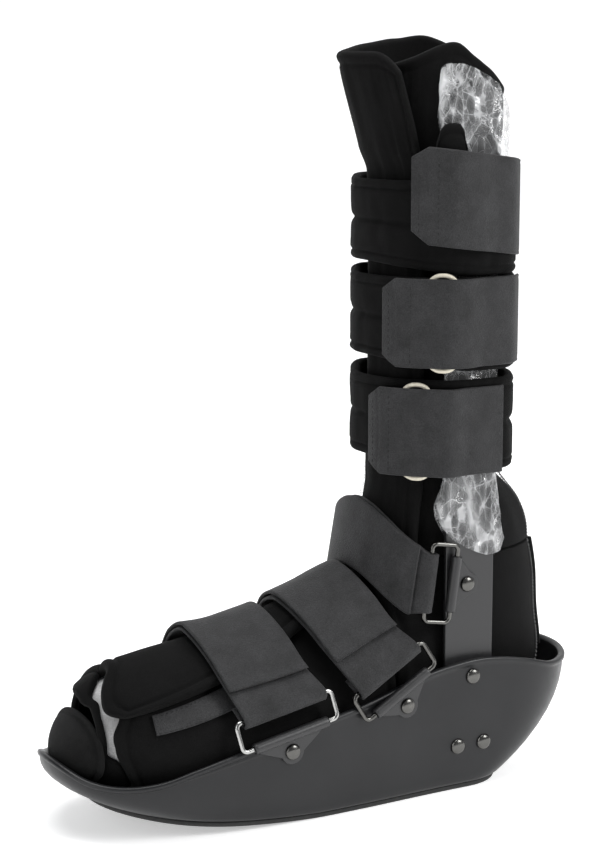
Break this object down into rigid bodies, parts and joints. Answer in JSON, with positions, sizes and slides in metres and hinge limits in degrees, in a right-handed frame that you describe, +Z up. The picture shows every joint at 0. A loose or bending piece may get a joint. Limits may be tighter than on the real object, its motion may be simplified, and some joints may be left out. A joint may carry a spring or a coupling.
{
  "type": "medical walking boot",
  "caption": "Tall walking boot: rocker-soled plastic shell, two metal uprights, padded velour liner, webbing foot straps in wire loops and padded calf bands.",
  "frame": {"origin": "on the ground under the two uprights, halfway between them, on the sole's flat face", "axes": "+Z up along the leg, the toe points along -X, -Y is the wearer's left side"},
  "size_m": [0.33, 0.1303, 0.4304],
  "materials": {
    "shell_plastic": "dark charcoal moulded plastic with a satin surface",
    "sole_rubber": "matt black rubber tread",
    "coated_metal": "dark grey powder coat",
    "bright_metal": "nickel-plated steel, lightly dulled",
    "velour": "black brushed velour laminated on foam",
    "lining": "pale grey knitted lining",
    "webbing": "dark grey hook-and-loop webbing",
    "film": "thin clear crinkled film",
    "ivory_metal": "cream-coated steel wire"
  },
  "bodies": {
    "root": {"upright_rivet_top_left": "bright_metal", "upright_rivet_front_left": "bright_metal", "upright_rivet_back_left": "bright_metal", "forefoot_rivet_left": "bright_metal", "instep_rivet_left": "bright_metal", "ankle_rivet_left": "bright_metal", "upright_left": "coated_metal", "sleeve_left": "film", "forefoot_loop_left": "bright_metal", "forefoot_tab_left": "coated_metal", "instep_loop_left": "bright_metal", "instep_tab_left": "coated_metal", "ankle_loop_left": "bright_metal", "ankle_tab_left": "coated_metal", "upright_rivet_top_right": "bright_metal", "upright_rivet_front_right": "bright_metal", "upright_rivet_back_right": "bright_metal", "forefoot_rivet_right": "bright_metal", "instep_rivet_right": "bright_metal", "ankle_rivet_right": "bright_metal", "upright_right": "coated_metal", "sleeve_right": "film", "forefoot_loop_right": "bright_metal", "forefoot_tab_right": "coated_metal", "instep_loop_right": "bright_metal", "instep_tab_right": "coated_metal", "ankle_loop_right": "bright_metal", "ankle_tab_right": "coated_metal", "shell": "shell_plastic", "outsole": "sole_rubber", "foot_flap_left": "velour", "foot_flap_right": "velour", "toe_lining": "lining", "toe_cap": "velour", "heel_liner": "velour", "leg_liner": "velour", "back_seam": "velour", "hook_strip": "webbing", "forefoot_strap": "webbing", "instep_strap": "webbing", "ankle_strap": "webbing", "calf_pad_lower": "velour", "calf_strap_lower": "webbing", "calf_loop_lower": "ivory_metal", "calf_pad_middle": "velour", "calf_strap_middle": "webbing", "calf_loop_middle": "ivory_metal", "calf_pad_upper": "velour", "calf_strap_upper": "webbing"}
  },
  "joints": []
}
